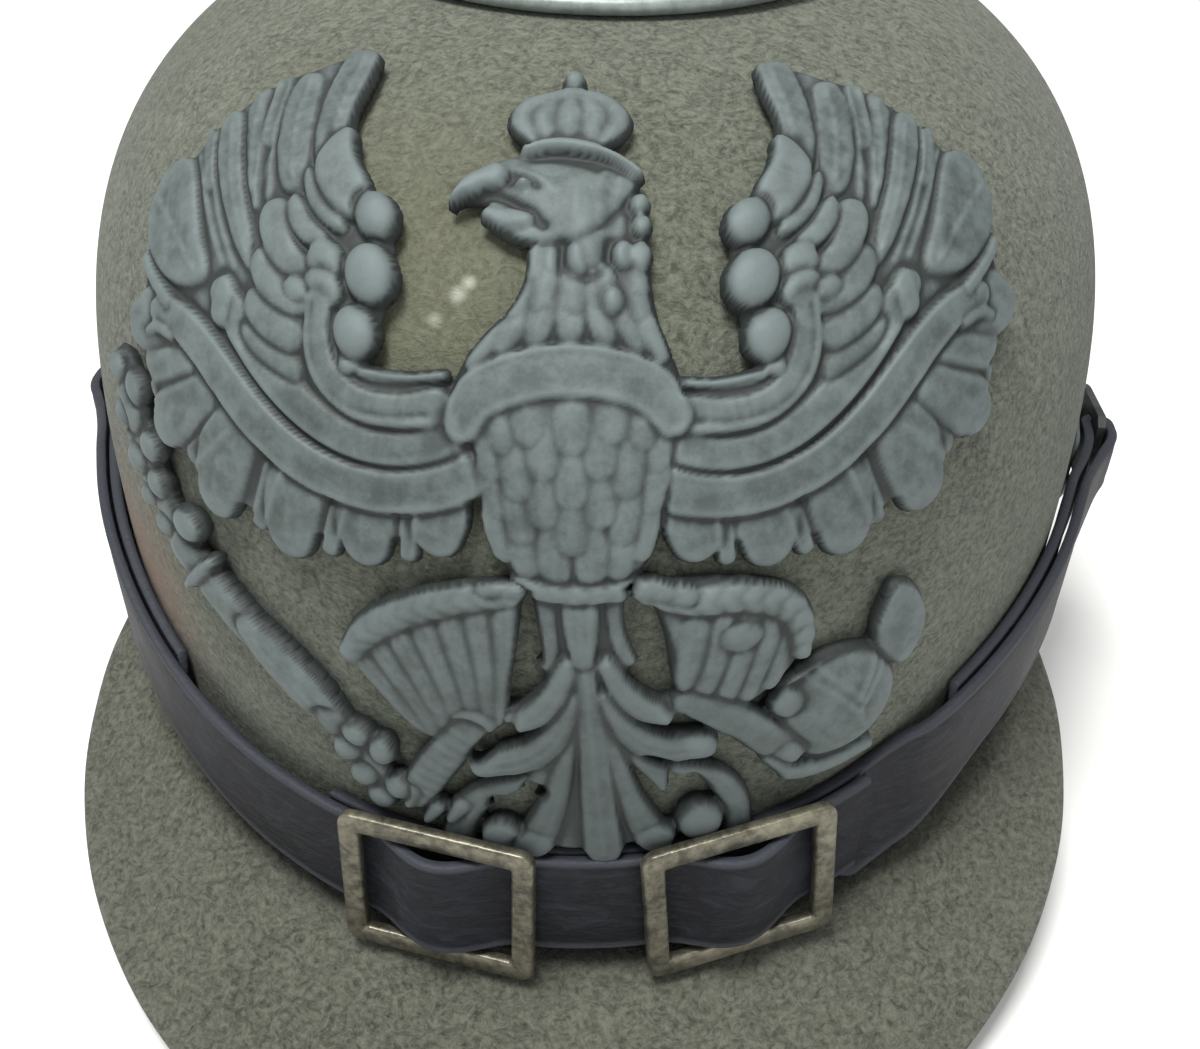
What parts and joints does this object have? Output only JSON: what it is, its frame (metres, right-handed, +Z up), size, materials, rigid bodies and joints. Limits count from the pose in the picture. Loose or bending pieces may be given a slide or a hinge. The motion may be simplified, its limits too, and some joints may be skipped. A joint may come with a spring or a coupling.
{
  "type": "felt pickelhaube with eagle plate",
  "caption": "Grey-green felt spiked helmet with a pierced heraldic eagle plate, a leather chin strap with two rectangular buckles over the front, side cockades and felt visors.",
  "frame": {"origin": "middle of the helmet's bounding box, on the plane that both visors rest on", "axes": "+Z up along the spike, -Y towards the front visor and the plate, +X to the right of someone facing the plate"},
  "size_m": [0.193, 0.2554, 0.2285],
  "materials": {
    "field_felt": "matt pressed wool felt, grey-green, speckled fibres",
    "visor_felt": "matt pressed wool felt, grey-green",
    "zinc_plate": "dull grey stamped metal, worn brighter on the high spots",
    "grey_steel": "dull grey sheet metal",
    "dark_steel": "dark worn steel",
    "buckle_steel": "olive-grey steel, bright at the worn edges",
    "strap_leather": "blackened leather, worn, low sheen"
  },
  "bodies": {
    "root": {"crown_shell": "field_felt", "front_visor": "visor_felt", "rear_visor": "visor_felt", "spike_base": "grey_steel", "spike": "grey_steel", "eagle_plate": "zinc_plate", "strap_left": "strap_leather", "strap_right": "strap_leather", "buckle_left": "buckle_steel", "buckle_right": "buckle_steel", "lug_left": "dark_steel", "lug_right": "dark_steel", "post_left": "dark_steel", "post_right": "dark_steel", "cockade_left": "zinc_plate", "cockade_right": "zinc_plate"}
  },
  "joints": []
}
